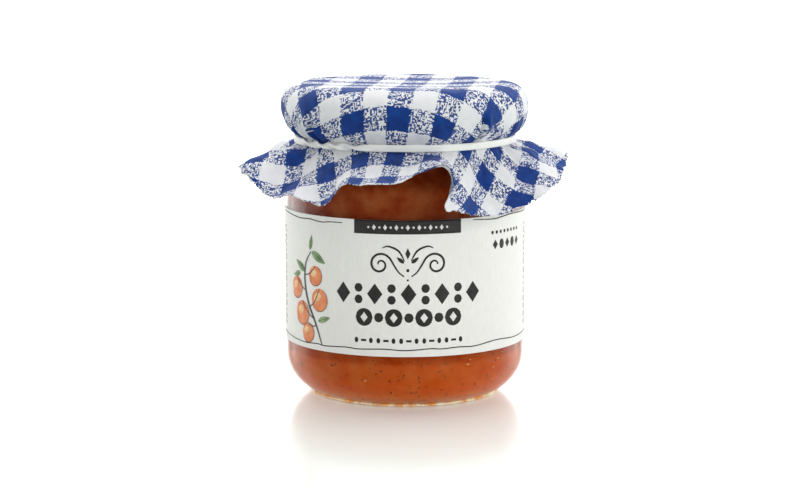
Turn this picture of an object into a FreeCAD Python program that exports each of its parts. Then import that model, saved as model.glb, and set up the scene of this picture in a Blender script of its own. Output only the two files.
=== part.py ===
"""Jam jar with a gathered cloth cover, as a FreeCAD parametric document (millimetres).

A round, wide-necked glass jar filled with jam stands on its own foot. A thin metal lid closes it, a round
cotton cover lies over the lid, and an elastic band gathers that cloth into the groove of the neck, so that
its edge flares out as a ruffled skirt. A paper label wraps the straight part of the glass.

Frame: +Z up, origin at the centre of the foot, -Y towards the front of the label.
"""

import FreeCAD, Part, Sketcher
import math
import os

SIZES = {
    # Glass.
    "body_radius": 34.0,
    "body_wall": 2.6,
    "base_thickness": 4.5,
    "heel_radius": 12.0,
    "inner_heel_radius": 9.4,
    "foot_inner_radius": 18.5,
    "push_up": 1.2,
    "shoulder_start": 61.0,
    "shoulder_rise": 7.5,
    "shoulder_rounding": 3.6,
    "neck_radius": 29.9,
    "neck_wall": 2.5,
    "neck_rise": 8.5,
    "finish_width": 1.3,
    "finish_rise": 9.8,
    "finish_slope": 1.2,
    "rim_rounding": 0.9,
    # Jam.
    "head_space": 10.7,
    "jam_gap": 0.05,
    # Lid.
    "lid_fit": 0.3,
    "lid_sheet": 0.5,
    "lid_height": 9.5,
    "lid_rounding": 3.2,
    "lid_panel_margin": 1.6,
    "lid_panel_depth": 0.9,
    "lid_panel_rounding": 0.4,
    "seal_gap": 0.1,
    # Label.
    "label_lift": 3.7,
    "label_margin": 7.7,
    "label_paper": 0.15,
    "label_gap": 0.05,
    "label_open_angle": 13.0,
    # Cloth cover.
    "cloth": 0.7,
    "cloth_gap": 0.2,
    "cover_crest_inset": 4.6,
    "cover_bulge": 3.1,
    "cover_bulge_drop": 6.9,
    "waist_rise": 4.0,
    "skirt_clear": 2.1,
    "skirt_ruffle": 15.5,
    "skirt_drop": 17.5,
    "skirt_rest": 0.6,
    # Elastic band.
    "band_width": 2.0,
    "band_thickness": 0.9,
    "band_gap": 0.05,
    "band_rounding": 0.3,
}

# The skirt's hem, as azimuth from the front in degrees (positive to the right), how far it stands out, as a
# share of the ruffle, and how far it drops, as a share of the greatest drop. Crests, where the gathered
# cloth stands out, alternate with the valleys where it turns back.
HEM = [
    (-166, 0.68, 0.62),
    (-149, 0.44, 0.93),
    (-131, 0.94, 0.30),
    (-105, 0.38, 0.92),
    (-84, 0.66, 0.54),
    (-66, 0.93, 0.37),
    (-47, 0.67, 0.81),
    (-29, 0.70, 0.74),
    (-14, 0.92, 0.40),
    (9, 1.00, 0.11),
    (20, 0.60, 0.86),
    (40, 0.40, 1.00),
    (66, 0.84, 0.36),
    (83, 0.48, 0.66),
    (105, 0.90, 0.31),
    (125, 0.43, 0.93),
    (142, 0.91, 0.37),
    (166, 0.41, 0.94),
    (184, 0.94, 0.33),
]
SKIRT_COLUMNS = 72
CURVE_DEGREE = 3
# How full the puffed edge over the lid is (2 is a plain ellipse), and how soon the skirt flares out.
PUFF_POWER = 2.4
FLARE_POWER = 0.75
UPPER_STEPS = 9
LOWER_STEPS = 4
SKIRT_STEPS = 6

doc = FreeCAD.newDocument("JamJar")


# ------------------------------------------------------------------------------------------- the sheet
def fill_sheet():
    """Writes each driving size to a spreadsheet cell with its own alias."""
    sheet = doc.addObject("Spreadsheet::Sheet", "Sizes")
    for row, (name, value) in enumerate(SIZES.items(), start=1):
        sheet.set(f"A{row}", name)
        sheet.set(f"B{row}", str(value))
        sheet.setAlias(f"B{row}", name)
    doc.recompute()
    return sheet


sizes = fill_sheet()


def sized(expression):
    """The expression with each size's name turned into its cell in the sheet."""
    words = expression.replace("(", " ( ").replace(")", " ) ").split()
    return " ".join(f"Sizes.{word}" if word in SIZES else word for word in words)


def value_of(expression):
    """The expression's present value in millimetres."""
    found = sizes.evalExpression(sized(expression))
    return float(getattr(found, "Value", found))


# Heights and radii that several pieces share, worked out from the sheet's cells.
SHOULDER_TOP = "shoulder_start + shoulder_rise"
FINISH_START = f"{SHOULDER_TOP} + neck_rise"
RIM = f"{FINISH_START} + finish_rise"
MOUTH = "neck_radius - neck_wall"
INNER = "body_radius - body_wall"
LID_INSIDE = f"{RIM} + seal_gap"
LID_TOP = f"{LID_INSIDE} + lid_sheet"
FINISH_RADIUS = "neck_radius + finish_width"
LID_INNER_RADIUS = f"{FINISH_RADIUS} + lid_fit"
LID_RADIUS = f"{LID_INNER_RADIUS} + lid_sheet"
COVER_TOP = f"{LID_TOP} + cloth_gap + cloth"
WAIST = f"{SHOULDER_TOP} + waist_rise"
WAIST_RADIUS = "neck_radius + cloth_gap + cloth"
BAND_RADIUS = f"{WAIST_RADIUS} + band_gap"


# ---------------------------------------------------------------------------------- PartDesign helpers
def origin_plane(body, role):
    """The body's own origin plane of that role."""
    return next(f for f in body.Origin.OriginFeatures if f.Role == role)


def new_body(label):
    body = doc.addObject("PartDesign::Body", label)
    body.Label = label
    return body


def outline(body, name, corners):
    """A closed polyline of (radius, height) expressions on the XZ plane, each corner bound to the sheet."""
    sketch = body.newObject("Sketcher::SketchObject", name)
    sketch.AttachmentSupport = [(origin_plane(body, "XZ_Plane"), "")]
    sketch.MapMode = "FlatFace"
    places = [FreeCAD.Vector(value_of(r), value_of(z), 0) for r, z in corners]
    count = len(corners)
    for i, start in enumerate(places):
        sketch.addGeometry(Part.LineSegment(start, places[(i + 1) % count]), False)
    for i, (radius, height) in enumerate(corners):
        sketch.addConstraint(Sketcher.Constraint("Coincident", i - 1 if i else count - 1, 2, i, 1))
        for kind, axis, letter, expression, place in (
            ("DistanceX", -2, "r", radius, places[i].x),
            ("DistanceY", -1, "z", height, places[i].y),
        ):
            if expression == "0":
                sketch.addConstraint(Sketcher.Constraint("PointOnObject", i, 1, axis))
                continue
            at = sketch.addConstraint(Sketcher.Constraint(kind, -1, 1, i, 1, place))
            sketch.renameConstraint(at, f"{letter}{i}")
            sketch.setExpression(f"Constraints.{letter}{i}", sized(expression))
    return sketch


def revolve(body, name, sketch, angle="360"):
    """The sketch turned about the body's vertical axis."""
    turned = body.newObject("PartDesign::Revolution", name)
    turned.Profile = sketch
    turned.ReferenceAxis = (sketch, ["V_Axis"])
    turned.setExpression("Angle", sized(angle))
    turned.Midplane = True
    sketch.Visibility = False
    doc.recompute()
    return turned


def ring_edges(shape, rings):
    """Names of the shape's circular edges at the given (radius, height) expressions."""
    names = []
    for radius, height in ((value_of(r), value_of(z)) for r, z in rings):
        for i, edge in enumerate(shape.Edges, start=1):
            curve = edge.Curve
            if not isinstance(curve, Part.Circle):
                continue
            if abs(curve.Radius - radius) < 1e-4 and abs(curve.Center.z - height) < 1e-4:
                names.append(f"Edge{i}")
    if len(names) < len(rings):
        raise ValueError(f"found {len(names)} of {len(rings)} edges to round")
    return names


def rounded(body, name, radius, rings):
    """Rounds the circular edges at those rings of the body's present tip."""
    base = body.Tip
    fillet = body.newObject("PartDesign::Fillet", name)
    fillet.Base = (base, ring_edges(base.Shape, rings))
    fillet.setExpression("Radius", sized(radius))
    base.Visibility = False
    doc.recompute()
    return fillet


# ------------------------------------------------------------------------------------------ sub-parts
def glass_jar():
    """The glass: a flat foot ring round a raised centre, a rounded heel, straight wall, shoulder, grooved
    neck and a thicker finish that the lid grips."""
    body = new_body("glass_jar")
    sketch = outline(
        body,
        "GlassOutline",
        [
            ("0", "push_up"),
            ("foot_inner_radius", "0"),
            ("body_radius", "0"),
            ("body_radius", "shoulder_start"),
            ("neck_radius", SHOULDER_TOP),
            ("neck_radius", FINISH_START),
            (FINISH_RADIUS, f"{FINISH_START} + finish_slope"),
            (FINISH_RADIUS, RIM),
            (MOUTH, RIM),
            (MOUTH, SHOULDER_TOP),
            (INNER, "shoulder_start"),
            (INNER, "base_thickness"),
            ("0", "base_thickness + push_up"),
        ],
    )
    revolve(body, "GlassTurned", sketch)
    rounded(body, "Heel", "heel_radius", [("body_radius", "0")])
    rounded(body, "InnerHeel", "inner_heel_radius", [(INNER, "base_thickness")])
    rounded(
        body,
        "ShoulderRounding",
        "shoulder_rounding",
        [("body_radius", "shoulder_start"), ("neck_radius", SHOULDER_TOP), (INNER, "shoulder_start"),
         (MOUTH, SHOULDER_TOP)],
    )
    rounded(body, "RimOutside", "lid_rounding - lid_sheet - lid_fit", [(FINISH_RADIUS, RIM)])
    rounded(body, "RimInside", "rim_rounding", [(MOUTH, RIM)])
    return body


def jam():
    """The jam: it fills the glass up to its level, a hair clear of the wall all round."""
    body = new_body("jam")
    level = f"{RIM} - head_space"
    side = f"{INNER} - jam_gap"
    neck = f"{MOUTH} - jam_gap"
    floor_height = "base_thickness + jam_gap"
    sketch = outline(
        body,
        "JamOutline",
        [
            ("0", f"{floor_height} + push_up"),
            (side, floor_height),
            (side, "shoulder_start"),
            (neck, SHOULDER_TOP),
            (neck, level),
            ("0", level),
        ],
    )
    revolve(body, "JamTurned", sketch)
    rounded(body, "JamHeel", "inner_heel_radius", [(side, floor_height)])
    rounded(body, "JamShoulder", "shoulder_rounding", [(side, "shoulder_start"), (neck, SHOULDER_TOP)])
    return body


def lid():
    """The metal lid: a shallow cup over the finish, with a well-rounded edge and a sunk middle panel."""
    body = new_body("lid")
    low = f"{LID_TOP} - lid_height"
    panel = f"{MOUTH} - lid_panel_margin"
    upper_panel = f"{panel} - lid_sheet"
    sketch = outline(
        body,
        "LidOutline",
        [
            ("0", f"{LID_INSIDE} - lid_panel_depth"),
            (panel, f"{LID_INSIDE} - lid_panel_depth"),
            (panel, LID_INSIDE),
            (LID_INNER_RADIUS, LID_INSIDE),
            (LID_INNER_RADIUS, low),
            (LID_RADIUS, low),
            (LID_RADIUS, LID_TOP),
            (upper_panel, LID_TOP),
            (upper_panel, f"{LID_TOP} - lid_panel_depth"),
            ("0", f"{LID_TOP} - lid_panel_depth"),
        ],
    )
    revolve(body, "LidTurned", sketch)
    rounded(body, "LidEdge", "lid_rounding", [(LID_RADIUS, LID_TOP)])
    rounded(body, "LidInnerEdge", "lid_rounding - lid_sheet", [(LID_INNER_RADIUS, LID_INSIDE)])
    rounded(body, "PanelEdge", "lid_panel_rounding", [(upper_panel, LID_TOP)])
    return body


def paper_label():
    """The paper label: a thin sleeve on the straight wall, with its two ends apart at the back."""
    body = new_body("paper_label")
    inside = "body_radius + label_gap"
    low = "heel_radius + label_lift"
    high = "shoulder_start - label_margin"
    sketch = outline(
        body,
        "LabelOutline",
        [
            (inside, low),
            (f"{inside} + label_paper", low),
            (f"{inside} + label_paper", high),
            (inside, high),
        ],
    )
    revolve(body, "LabelTurned", sketch, "360 - label_open_angle")
    # The sketch's plane holds the middle of the sleeve, which faces the front.
    body.Placement = FreeCAD.Placement(FreeCAD.Vector(), FreeCAD.Rotation(FreeCAD.Vector(0, 0, 1), -90))
    doc.recompute()
    return body


def elastic_band():
    """The elastic band: a flat ring with soft corners, round the cloth in the groove of the neck."""
    body = new_body("elastic_band")
    outside = f"{BAND_RADIUS} + band_thickness"
    low = f"{WAIST} - band_width / 2"
    high = f"{WAIST} + band_width / 2"
    sketch = outline(
        body,
        "BandOutline",
        [(BAND_RADIUS, low), (outside, low), (outside, high), (BAND_RADIUS, high)],
    )
    revolve(body, "BandTurned", sketch)
    rounded(body, "BandRounding", "band_rounding", [(outside, low), (outside, high)])
    return body


# -------------------------------------------------------------------------------------- cloth cover
def eased(share):
    """0 to 1 with a level start and end."""
    return (1 - math.cos(math.pi * share)) / 2


def hem_at(azimuth):
    """The hem's radius and height at an azimuth in degrees, eased between the listed crests and valleys."""
    turned = sorted(((a - azimuth) % 360, out, drop) for a, out, drop in HEM)
    after, before = turned[0], turned[-1]
    share = (360 - before[0]) / (after[0] + 360 - before[0])
    out, drop = (b + (a - b) * eased(share) for a, b in zip(after[1:], before[1:]))
    return (
        value_of("body_radius + skirt_clear") + out * value_of("skirt_ruffle"),
        value_of(WAIST) - drop * value_of("skirt_drop"),
    )


def resting_radius(height):
    """The least radius of the cloth's outer face there, where it would lie on the jar's shoulder or wall."""
    rise, run = value_of("shoulder_rise"), value_of("body_radius - neck_radius")
    share = min(max((value_of(SHOULDER_TOP) - height) / rise, 0), 1)
    slant = math.hypot(rise, run) / rise
    return value_of("neck_radius") + share * run + value_of("cloth + skirt_rest") * slant


def quarter_turn(width, height, power, steps):
    """Offsets along a quarter superellipse, from its top (0, height) round to its side (width, 0)."""
    turns = [math.pi / 2 * i / steps for i in range(steps + 1)]
    return [
        (width * math.sin(turn) ** (2 / power), height * max(math.cos(turn), 0) ** (2 / power))
        for turn in turns
    ]


def cover_profile(azimuth):
    """The cloth's outer face at one azimuth, as (radius, height) points from the flat top to the hem."""
    top = value_of(COVER_TOP)
    crest = value_of(f"{LID_RADIUS} - cover_crest_inset")
    widest = top - value_of("cover_bulge_drop")
    bulge = value_of(f"{LID_RADIUS} + cover_bulge")
    waist, waist_radius = value_of(WAIST), value_of(WAIST_RADIUS)
    half_band = value_of("band_width / 2")
    # Five points in line hold the cloth straight over the band's whole width.
    held = [(waist_radius, waist + half_band * step) for step in (2, 1, 0, -1, -2)]
    held_top, held_low = held[0][1], held[-1][1]
    upper = [
        (crest + out, widest + up)
        for out, up in quarter_turn(bulge - crest, top - widest, PUFF_POWER, UPPER_STEPS)
    ]
    lower = [
        (waist_radius + out, widest - up)
        for out, up in reversed(quarter_turn(bulge - waist_radius, widest - held_top, 2, LOWER_STEPS))
    ]
    hem_radius, hem_height = hem_at(azimuth)
    skirt = []
    for step in range(1, SKIRT_STEPS + 1):
        share = step / SKIRT_STEPS
        height = held_low + (hem_height - held_low) * share
        flared = waist_radius + (hem_radius - waist_radius) * share**FLARE_POWER
        skirt.append((max(flared, resting_radius(height)), height))
    return upper + lower[1:-1] + held + skirt


def inward(profile, distance):
    """The profile moved by that distance to its inner side, along its own normals."""
    moved = []
    for i, (radius, height) in enumerate(profile):
        r0, z0 = profile[max(i - 1, 0)]
        r1, z1 = profile[min(i + 1, len(profile) - 1)]
        length = math.hypot(r1 - r0, z1 - z0)
        moved.append((radius + distance * (z1 - z0) / length, height - distance * (r1 - r0) / length))
    return moved


def turned_surface(profiles):
    """A smooth surface, closed round the Z axis, through one profile of control points per azimuth."""
    poles = []
    for column, profile in enumerate(profiles):
        angle = 2 * math.pi * column / len(profiles) - math.pi / 2
        poles.append([FreeCAD.Vector(r * math.cos(angle), r * math.sin(angle), z) for r, z in profile])
    rows = len(poles[0])
    spans = rows - CURVE_DEGREE
    surface = Part.BSplineSurface()
    surface.buildFromPolesMultsKnots(
        poles,
        [1] * (len(poles) + 1),
        [CURVE_DEGREE + 1] + [1] * (spans - 1) + [CURVE_DEGREE + 1],
        [float(k) for k in range(len(poles) + 1)],
        [float(k) for k in range(spans + 1)],
        True,
        False,
        CURVE_DEGREE,
        CURVE_DEGREE,
    )
    return surface


def end_ring(surface, last):
    """The surface's closed edge at its first or last row."""
    bounds = surface.bounds()
    return surface.vIso(bounds[3] if last else bounds[2]).toShape()


def cloth_cover():
    """The cloth: one closed shell with a flat top, a puffed side, a waist under the band and a ruffled skirt."""
    azimuths = [360 * column / SKIRT_COLUMNS for column in range(SKIRT_COLUMNS)]
    profiles = [cover_profile(azimuth) for azimuth in azimuths]
    outer = turned_surface(profiles)
    inner = turned_surface([inward(profile, value_of("cloth")) for profile in profiles])
    faces = [outer.toShape(), inner.toShape()]
    for surface in (outer, inner):
        faces.append(Part.Face(Part.Wire(end_ring(surface, last=False))))
    faces.append(Part.makeRuledSurface(end_ring(outer, last=True), end_ring(inner, last=True)))
    shell = Part.Shell([face for shape in faces for face in shape.Faces])
    shell.sewShape()
    solid = Part.Solid(shell.Shells[0] if shell.ShapeType != "Shell" else shell)
    if solid.Volume < 0:
        solid.reverse()
    feature = doc.addObject("Part::Feature", "cloth_cover")
    feature.Label = "cloth_cover"
    feature.Shape = solid
    feature.Placement = FreeCAD.Placement()
    return feature


# -------------------------------------------------------------------------------- checks and export
def check_and_write(parts):
    """Stops on any failed object or bad shape, then writes one STEP file for each sub-part."""
    doc.recompute()
    for item in doc.Objects:
        failed = [word for word in item.State if word in ("Invalid", "Error")]
        if failed:
            raise RuntimeError(f"{item.Label} is {failed}")
    for part in parts:
        if part.Shape.isNull() or not part.Shape.isValid():
            raise RuntimeError(f"{part.Label} has no valid shape")
        if len(part.Shape.Solids) != 1 or part.Shape.Volume <= 0:
            raise RuntimeError(f"{part.Label} is not one solid")
    os.makedirs("parts", exist_ok=True)
    for part in parts:
        part.Shape.exportStep(f"parts/{part.Label}.step")
        box = part.Shape.BoundBox
        print(f"{part.Label}: {part.Shape.Volume / 1000:.2f} ml, z {box.ZMin:.2f} to {box.ZMax:.2f},"
              f" x {box.XMin:.2f} to {box.XMax:.2f}, y {box.YMin:.2f} to {box.YMax:.2f}")


check_and_write([glass_jar(), jam(), lid(), paper_label(), elastic_band(), cloth_cover()])
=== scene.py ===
"""The looks of a jam jar under a gathered gingham cover. Lengths are in millimetres, angles in degrees.

Azimuths are measured round the jar from the front of the label (-Y), positive towards the right (+X).
"""

import math
import random

import bmesh
import bpy
import numpy as np
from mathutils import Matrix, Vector, noise


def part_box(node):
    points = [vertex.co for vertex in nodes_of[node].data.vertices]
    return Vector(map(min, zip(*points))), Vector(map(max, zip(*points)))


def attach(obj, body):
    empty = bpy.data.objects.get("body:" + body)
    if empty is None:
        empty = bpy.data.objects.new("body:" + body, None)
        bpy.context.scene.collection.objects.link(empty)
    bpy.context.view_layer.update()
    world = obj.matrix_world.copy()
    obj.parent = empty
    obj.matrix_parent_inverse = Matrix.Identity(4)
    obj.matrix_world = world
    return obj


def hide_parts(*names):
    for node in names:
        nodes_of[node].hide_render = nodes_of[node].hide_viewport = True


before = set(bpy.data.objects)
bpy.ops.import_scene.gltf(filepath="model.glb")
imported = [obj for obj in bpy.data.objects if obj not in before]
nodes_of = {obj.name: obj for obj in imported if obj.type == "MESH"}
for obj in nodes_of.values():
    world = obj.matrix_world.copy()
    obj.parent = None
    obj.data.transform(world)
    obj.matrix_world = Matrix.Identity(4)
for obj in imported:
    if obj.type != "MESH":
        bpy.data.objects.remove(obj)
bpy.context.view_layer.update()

MM = 0.001
USUAL_NOISE = (0.3, 0.7)


def corners(name):
    """A CAD node's lowest and highest corners, in millimetres."""
    low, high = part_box(name)
    return np.array(low) / MM, np.array(high) / MM


def on_circle(azimuth, radius, height):
    """The point at that azimuth, radius and height; each may be an array."""
    turn = np.radians(azimuth)
    return np.stack(np.broadcast_arrays(radius * np.sin(turn), -radius * np.cos(turn), height), axis=-1)


def smooth(share):
    """0 to 1 with a soft start and end."""
    share = np.clip(share, 0.0, 1.0)
    return share * share * (3.0 - 2.0 * share)


def loop_curve(knots, values):
    """A smooth curve round the whole jar through each value at its knot."""
    knots, values = np.array(knots, float), np.array(values, float)
    around = np.concatenate([knots[-2:] - 360.0, knots, knots[:2] + 360.0])
    held = np.concatenate([values[-2:], values, values[:2]])
    slopes = (held[2:] - held[:-2]) / (around[2:] - around[:-2])

    def at(angle):
        angle = (np.asarray(angle, float) - knots[0]) % 360.0 + knots[0]
        i = np.clip(np.searchsorted(around, angle, side="right") - 1, 1, len(around) - 3)
        width = around[i + 1] - around[i]
        t = (angle - around[i]) / width
        start = (2 * t**3 - 3 * t**2 + 1) * held[i] + (t**3 - 2 * t**2 + t) * slopes[i - 1] * width
        end = (3 * t**2 - 2 * t**3) * held[i + 1] + (t**3 - t**2) * slopes[i] * width
        return start + end

    return at


def new_piece(name, points, faces, material):
    """A smooth mesh piece that rides on the jar."""
    data = bpy.data.meshes.new(name)
    data.from_pydata([tuple(p) for p in np.asarray(points, float) * MM], [], faces)
    data.update()
    data.polygons.foreach_set("use_smooth", [True] * len(data.polygons))
    piece = bpy.data.objects.new(name, data)
    bpy.context.scene.collection.objects.link(piece)
    data.materials.append(material)
    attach(piece, "root")
    return piece


def thicken(piece, thickness, offset):
    """Gives an open sheet its thickness."""
    modifier = piece.modifiers.new("thickness", "SOLIDIFY")
    modifier.thickness = thickness * MM
    modifier.offset = offset
    return piece


# --------------------------------------------------------------------------------------------- node tools
def tree_of(name):
    """A new material and its empty node tree."""
    material = bpy.data.materials.new(name)
    material.use_nodes = True
    material.node_tree.nodes.clear()
    return material, material.node_tree


def put(tree, kind, inputs=None, **settings):
    """A node with its settings and inputs; an input is a value or the socket that feeds it."""
    made = tree.nodes.new(kind)
    for key, value in settings.items():
        setattr(made, key, value)
    for key, value in (inputs or {}).items():
        if isinstance(value, bpy.types.NodeSocket):
            tree.links.new(value, made.inputs[key])
        else:
            made.inputs[key].default_value = value
    return made


def calc(tree, operation, *values):
    """The result of a Math node."""
    return put(tree, "ShaderNodeMath", dict(enumerate(values)), operation=operation).outputs[0]


def blended(tree, share, first, second):
    """Two colours mixed by a share."""
    inputs = {0: share, 6: first, 7: second}
    return put(tree, "ShaderNodeMix", inputs, data_type="RGBA").outputs[2]


def millimetres(tree):
    """The point in the jar's own frame, in millimetres."""
    place = put(tree, "ShaderNodeTexCoord").outputs["Object"]
    return put(tree, "ShaderNodeVectorMath", {0: place, 3: 1.0 / MM}, operation="SCALE").outputs[0]


def grain(tree, vector, scale, detail=2.0, stretch=(1.0, 1.0, 1.0), shift=(0.0, 0.0, 0.0), roughness=0.5):
    """Noise from 0 to 1 about 0.5; scale is in waves a millimetre."""
    inputs = {"Vector": vector, "Location": shift, "Scale": stretch}
    laid = put(tree, "ShaderNodeMapping", inputs).outputs[0]
    inputs = {"Vector": laid, "Scale": scale, "Detail": detail, "Roughness": roughness}
    return put(tree, "ShaderNodeTexNoise", inputs).outputs["Fac"]


def spread(tree, value, low, high, to_low, to_high):
    """A value mapped from one range to another, and held inside it."""
    inputs = {0: value, 1: low, 2: high, 3: to_low, 4: to_high}
    return put(tree, "ShaderNodeMapRange", inputs).outputs[0]


def toned(tree, noise_value, to_low, to_high):
    """Noise mapped from its usual range to another."""
    return spread(tree, noise_value, *USUAL_NOISE, to_low, to_high)


def bumped(tree, height, distance, strength=1.0, normal=None):
    """A bump's normal; distance is in millimetres."""
    inputs = {"Height": height, "Distance": distance * MM, "Strength": strength}
    if normal is not None:
        inputs["Normal"] = normal
    return put(tree, "ShaderNodeBump", inputs).outputs[0]


def finished(tree, shader):
    """Makes a shader the material's surface."""
    put(tree, "ShaderNodeOutputMaterial", {"Surface": shader})


def srgb(red, green, blue):
    """A colour given as 0-255 values, as a linear RGBA."""
    shares = [value / 255.0 for value in (red, green, blue)]
    linear = [s / 12.92 if s <= 0.04045 else ((s + 0.055) / 1.055) ** 2.4 for s in shares]
    return (*linear, 1.0)


# --------------------------------------------------------------------------------------------- materials
CHECK = 6.85
CHECK_PERIOD = 2 * CHECK
STRIPE_ACROSS = -2.07
STRIPE_ALONG = 26.3
WEAVE_TURN = 6.3
WEAVE_PIVOT = 40.0
FLAT_RADIUS = 72.0
HEM_BORDER = 0.2
BORDER_FRAY = 3.0
BORDER_SHIFT = 1.7
THREAD_LONG = 0.7
THREAD_THICK = 0.32
THREAD_PATCH = 1.1
BLUE_SHARE = 0.52
SPECKLE_INK = 0.94


def stripe(tree, along, centre):
    """1 inside the blue stripes that repeat along one direction of the cloth, 0 between them."""
    place = calc(tree, "MULTIPLY_ADD", along, 1.0 / CHECK_PERIOD, 0.5 - centre / CHECK_PERIOD)
    away = calc(tree, "ABSOLUTE", calc(tree, "SUBTRACT", calc(tree, "FRACT", place), 0.5))
    return calc(tree, "LESS_THAN", away, 0.25)


def thread_cells(tree, place, width, height, shift):
    """A random value for each cell of a grid, as one thread after another comes to the top."""
    inputs = {0: place, 1: (width, height, 1.0)}
    cell = put(tree, "ShaderNodeVectorMath", inputs, operation="SNAP").outputs[0]
    moved = put(tree, "ShaderNodeVectorMath", {0: cell, 1: (shift, shift, 0.0)}, operation="ADD").outputs[0]
    return put(tree, "ShaderNodeTexWhiteNoise", {"Vector": moved}).outputs["Value"]


def gingham():
    """Blue and white checks with speckled half-tone squares, woven of thick and thin threads."""
    material, tree = tree_of("checked_cotton")
    cut = put(tree, "ShaderNodeUVMap", uv_map="flat").outputs[0]
    inputs = {"Vector": cut, "Center": (0.0, WEAVE_PIVOT, 0.0), "Angle": -math.radians(WEAVE_TURN)}
    flat = put(tree, "ShaderNodeVectorRotate", inputs, rotation_type="Z_AXIS").outputs[0]
    ragged = []
    for axis, shift in ((0, 0.0), (1, 37.0)):
        along = put(tree, "ShaderNodeSeparateXYZ", {0: flat}).outputs[axis]
        wander = grain(tree, flat, 1.7, 1.0, shift=(shift, shift, 0.0))
        ragged.append(calc(tree, "MULTIPLY_ADD", calc(tree, "SUBTRACT", wander, 0.5), 1.5, along))
    across = stripe(tree, ragged[0], STRIPE_ACROSS)
    down = stripe(tree, ragged[1], STRIPE_ALONG)
    solid = calc(tree, "MULTIPLY", across, down)
    half = calc(tree, "ABSOLUTE", calc(tree, "SUBTRACT", across, down))
    warp = thread_cells(tree, flat, THREAD_LONG, THREAD_THICK, 0.5)
    weft = thread_cells(tree, flat, THREAD_THICK, THREAD_LONG, 90.5)
    turn = calc(tree, "GREATER_THAN", thread_cells(tree, flat, THREAD_PATCH, THREAD_PATCH, 40.5), 0.5)
    threads = calc(tree, "ADD", calc(tree, "MULTIPLY", turn, warp),
                   calc(tree, "MULTIPLY", calc(tree, "SUBTRACT", 1.0, turn), weft))
    speckle = calc(tree, "LESS_THAN", threads, BLUE_SHARE)
    inked = calc(tree, "MULTIPLY_ADD", half, calc(tree, "MULTIPLY", speckle, SPECKLE_INK), solid)
    fade = grain(tree, flat, 0.35, 3.0)
    blue = blended(tree, toned(tree, fade, 0.0, 1.0), srgb(6, 42, 108), srgb(14, 64, 142))
    white = blended(tree, toned(tree, fade, 0.0, 1.0), srgb(222, 224, 228), srgb(233, 233, 233))
    colour = blended(tree, inked, white, blue)
    radius = put(tree, "ShaderNodeVectorMath", {0: cut}, operation="LENGTH").outputs["Value"]
    frayed = calc(tree, "MULTIPLY_ADD", grain(tree, flat, 1.6, 1.0), BORDER_FRAY, radius)
    border = calc(tree, "GREATER_THAN", frayed, FLAT_RADIUS - HEM_BORDER + BORDER_SHIFT)
    colour = blended(tree, border, colour, srgb(232, 233, 235))
    weave = []
    for direction in ("X", "Y"):
        inputs = {"Vector": flat, "Scale": 0.75, "Distortion": 0.4, "Detail": 1.0}
        wave = put(tree, "ShaderNodeTexWave", inputs, bands_direction=direction)
        weave.append(wave.outputs["Fac"])
    threads_height = calc(tree, "MAXIMUM", weave[0], weave[1])
    soft = bumped(tree, grain(tree, flat, 0.22, 3.0), 0.55, 0.7)
    normal = bumped(tree, threads_height, 0.06, 0.5, soft)
    rough = toned(tree, fade, 0.82, 0.95)
    inputs = {"Base Color": colour, "Roughness": rough, "Normal": normal,
              "Sheen Weight": 0.12, "Sheen Roughness": 0.5, "Specular IOR Level": 0.2}
    finished(tree, put(tree, "ShaderNodeBsdfPrincipled", inputs).outputs[0])
    return material


def fray_cotton():
    """Loose white threads at the hem."""
    material, tree = tree_of("fray_cotton")
    place = millimetres(tree)
    colour = blended(tree, grain(tree, place, 0.4), srgb(226, 230, 236), srgb(246, 246, 246))
    normal = bumped(tree, grain(tree, place, 9.0), 0.03)
    inputs = {"Base Color": colour, "Roughness": 0.9, "Normal": normal, "Sheen Weight": 0.15}
    finished(tree, put(tree, "ShaderNodeBsdfPrincipled", inputs).outputs[0])
    return material


def clear_glass():
    """Soda-lime glass, a little wavy, with faint reflections; lamps light what is in it."""
    material, tree = tree_of("clear_glass")
    place = millimetres(tree)
    rough = toned(tree, grain(tree, place, 0.15), 0.0, 0.012)
    normal = bumped(tree, grain(tree, place, 0.07, 1.0, stretch=(1.0, 1.0, 2.0)), 0.35, 0.5)
    inputs = {"Base Color": srgb(250, 253, 252), "Roughness": rough, "Normal": normal,
              "Transmission Weight": 1.0, "IOR": 1.5, "Specular Tint": (0.06, 0.06, 0.06, 1.0)}
    glass = put(tree, "ShaderNodeBsdfPrincipled", inputs).outputs[0]
    path = put(tree, "ShaderNodeLightPath")
    through = calc(tree, "MAXIMUM", path.outputs["Is Shadow Ray"], path.outputs["Is Diffuse Ray"])
    clear = put(tree, "ShaderNodeBsdfTransparent", {0: srgb(250, 253, 252)}).outputs[0]
    finished(tree, put(tree, "ShaderNodeMixShader", {0: through, 1: glass, 2: clear}).outputs[0])
    return material


def painted_glint_glass():
    """The knurled foot's painted glints: pale amber with a faint glow of its own, standing in for light that
    the thick glass foot gathers.
    """
    material, tree = tree_of("painted_glint_glass")
    place = millimetres(tree)
    tone = spread(tree, grain(tree, place, 0.35, 2.0), 0.4, 0.6, 0.0, 1.0)
    colour = blended(tree, tone, srgb(240, 164, 84), srgb(255, 244, 208))
    normal = bumped(tree, grain(tree, place, 2.5), 0.1)
    # Painted glint: the pale gold colour and the emission stand in for light gathered by the glass foot.
    inputs = {"Base Color": colour, "Roughness": 0.25, "Normal": normal, "Subsurface Weight": 0.4,
              "Subsurface Radius": (0.002, 0.0015, 0.001), "Subsurface Scale": 1.0,
              "Emission Color": colour, "Emission Strength": 0.14}
    finished(tree, put(tree, "ShaderNodeBsdfPrincipled", inputs).outputs[0])
    return material


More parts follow.
